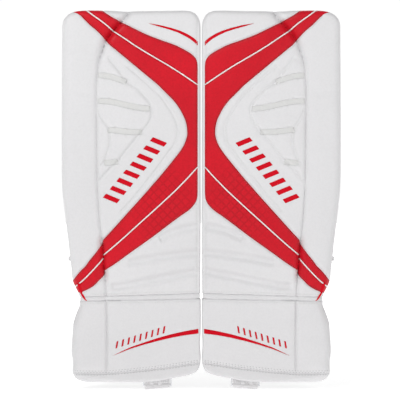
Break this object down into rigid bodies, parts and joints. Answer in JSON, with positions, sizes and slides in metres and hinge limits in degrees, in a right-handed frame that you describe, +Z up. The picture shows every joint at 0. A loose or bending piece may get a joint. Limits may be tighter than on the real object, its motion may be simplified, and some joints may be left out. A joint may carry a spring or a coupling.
{
  "type": "goalie leg pads",
  "caption": "Pair of tall padded ice hockey goaltender leg pads with raised outer rolls, red chevron bands, ankle and thigh flex breaks, calf wings, leg straps and toe tabs.",
  "frame": {"origin": "on the ice plane at the level of the toe edges, midway between the two pads, in the plane the wearer's shins lean on", "axes": "+Z up along the pads, -Y the way the playing faces look, +X towards the pad on the wearer's left leg"},
  "size_m": [0.557, 0.2294, 0.759],
  "materials": {
    "core_foam": "closed-cell foam",
    "roll_foam": "closed-cell foam",
    "white_leather": "satin synthetic leather",
    "wing_leather": "satin synthetic leather",
    "binding": "satin synthetic leather",
    "red_leather": "satin synthetic leather",
    "board": "matte sheet plastic",
    "liner": "brushed nylon over foam",
    "grip_rubber": "textured rubber",
    "black_leather": "satin leather",
    "steel": "nickel plated steel",
    "webbing": "woven nylon webbing",
    "elastic": "woven elastic",
    "strap_leather": "satin leather"
  },
  "bodies": {
    "left_shin": {"left_shin_core": "core_foam", "left_shin_roll": "roll_foam", "left_shin_cover": "white_leather", "left_shin_band": "red_leather", "left_shin_board": "board", "left_leg_channel": "liner", "left_knee_block": "white_leather", "left_knee_cushion": "grip_rubber", "left_calf_riser": "white_leather", "left_ankle_gusset": "black_leather"},
    "left_thigh": {"left_thigh_core": "core_foam", "left_thigh_roll": "roll_foam", "left_thigh_cover": "white_leather", "left_thigh_band": "red_leather", "left_thigh_board": "board", "left_thigh_liner": "liner"},
    "left_boot": {"left_boot_core": "core_foam", "left_boot_roll": "roll_foam", "left_boot_cover": "white_leather", "left_boot_board": "board", "left_toe_binding": "binding", "left_toe_anchor": "steel"},
    "left_toe_tab_body": {"left_toe_tab": "webbing", "left_toe_eyelets": "steel"},
    "left_outer_wing": {"left_calf_wing_outer": "wing_leather"},
    "left_calf_strap_body": {"left_calf_strap": "elastic"},
    "left_inner_wing": {"left_calf_wing_inner": "wing_leather"},
    "left_knee_strap_body": {"left_knee_strap": "elastic"},
    "left_boot_strap_body": {"left_boot_strap": "strap_leather"},
    "right_shin": {"right_shin_core": "core_foam", "right_shin_roll": "roll_foam", "right_shin_cover": "white_leather", "right_shin_band": "red_leather", "right_shin_board": "board", "right_leg_channel": "liner", "right_knee_block": "white_leather", "right_knee_cushion": "grip_rubber", "right_calf_riser": "white_leather", "right_ankle_gusset": "black_leather"},
    "right_thigh": {"right_thigh_core": "core_foam", "right_thigh_roll": "roll_foam", "right_thigh_cover": "white_leather", "right_thigh_band": "red_leather", "right_thigh_board": "board", "right_thigh_liner": "liner"},
    "right_boot": {"right_boot_core": "core_foam", "right_boot_roll": "roll_foam", "right_boot_cover": "white_leather", "right_boot_board": "board", "right_toe_binding": "binding", "right_toe_anchor": "steel"},
    "right_toe_tab_body": {"right_toe_tab": "webbing", "right_toe_eyelets": "steel"},
    "right_outer_wing": {"right_calf_wing_outer": "wing_leather"},
    "right_calf_strap_body": {"right_calf_strap": "elastic"},
    "right_inner_wing": {"right_calf_wing_inner": "wing_leather"},
    "right_knee_strap_body": {"right_knee_strap": "elastic"},
    "right_boot_strap_body": {"right_boot_strap": "strap_leather"}
  },
  "joints": [
    {"name": "pads_apart", "type": "slide", "parent": "left_shin", "child": "right_shin", "axis": [-1, 0, 0], "range_m": [0, 0.3]},
    {"name": "left_boot_flex", "type": "hinge", "parent": "left_shin", "child": "left_boot", "pos_m": [0.13, -0.009, 0.167], "axis": [-1, 0, 0], "range_deg": [0, 14], "stiffness_Nm_per_rad": 12},
    {"name": "left_thigh_flex", "type": "hinge", "parent": "left_shin", "child": "left_thigh", "pos_m": [0.14, -0.04, 0.578], "axis": [-1, 0, 0], "range_deg": [-8, 10], "stiffness_Nm_per_rad": 25},
    {"name": "left_toe_tab_hinge", "type": "hinge", "parent": "left_boot", "child": "left_toe_tab_body", "pos_m": [0.088, -0.064, -0.006], "axis": [-1, 0, 0], "range_deg": [0, 35]},
    {"name": "left_outer_wing_hinge", "type": "hinge", "parent": "left_shin", "child": "left_outer_wing", "pos_m": [0.213, 0.002, 0.321], "axis": [0, 0, -1], "range_deg": [0, 50]},
    {"name": "left_calf_strap_hinge", "type": "hinge", "parent": "left_outer_wing", "child": "left_calf_strap_body", "pos_m": [0.20042, 0.11006, 0.319], "axis": [0, 0, -1], "range_deg": [0, 60]},
    {"name": "left_inner_wing_hinge", "type": "hinge", "parent": "left_shin", "child": "left_inner_wing", "pos_m": [0.059, 0.034, 0.321], "axis": [0, 0, 1], "range_deg": [0, 40]},
    {"name": "left_knee_strap_hinge", "type": "hinge", "parent": "left_shin", "child": "left_knee_strap_body", "pos_m": [0.213, 0.002, 0.501], "axis": [0, 0, -1], "range_deg": [0, 75]},
    {"name": "left_boot_strap_hinge", "type": "hinge", "parent": "left_boot", "child": "left_boot_strap_body", "pos_m": [0.226, -0.013, 0.0905], "axis": [0, 0, -1], "range_deg": [0, 75]},
    {"name": "right_boot_flex", "type": "hinge", "parent": "right_shin", "child": "right_boot", "pos_m": [-0.13, -0.009, 0.167], "axis": [-1, 0, 0], "range_deg": [0, 14], "stiffness_Nm_per_rad": 12},
    {"name": "right_thigh_flex", "type": "hinge", "parent": "right_shin", "child": "right_thigh", "pos_m": [-0.14, -0.04, 0.578], "axis": [-1, 0, 0], "range_deg": [-8, 10], "stiffness_Nm_per_rad": 25},
    {"name": "right_toe_tab_hinge", "type": "hinge", "parent": "right_boot", "child": "right_toe_tab_body", "pos_m": [-0.088, -0.064, -0.006], "axis": [-1, 0, 0], "range_deg": [0, 35]},
    {"name": "right_outer_wing_hinge", "type": "hinge", "parent": "right_shin", "child": "right_outer_wing", "pos_m": [-0.213, 0.002, 0.321], "axis": [0, 0, 1], "range_deg": [0, 50]},
    {"name": "right_calf_strap_hinge", "type": "hinge", "parent": "right_outer_wing", "child": "right_calf_strap_body", "pos_m": [-0.20042, 0.11006, 0.319], "axis": [0, 0, 1], "range_deg": [0, 60]},
    {"name": "right_inner_wing_hinge", "type": "hinge", "parent": "right_shin", "child": "right_inner_wing", "pos_m": [-0.059, 0.034, 0.321], "axis": [0, 0, -1], "range_deg": [0, 40]},
    {"name": "right_knee_strap_hinge", "type": "hinge", "parent": "right_shin", "child": "right_knee_strap_body", "pos_m": [-0.213, 0.002, 0.501], "axis": [0, 0, 1], "range_deg": [0, 75]},
    {"name": "right_boot_strap_hinge", "type": "hinge", "parent": "right_boot", "child": "right_boot_strap_body", "pos_m": [-0.226, -0.013, 0.0905], "axis": [0, 0, 1], "range_deg": [0, 75]}
  ],
  "couplings": [
    {"joint": "left_calf_strap_hinge", "follows": "left_outer_wing_hinge", "ratio": 1.2},
    {"joint": "left_inner_wing_hinge", "follows": "left_outer_wing_hinge", "ratio": 0.8},
    {"joint": "right_calf_strap_hinge", "follows": "right_outer_wing_hinge", "ratio": 1.2},
    {"joint": "right_inner_wing_hinge", "follows": "right_outer_wing_hinge", "ratio": 0.8}
  ]
}
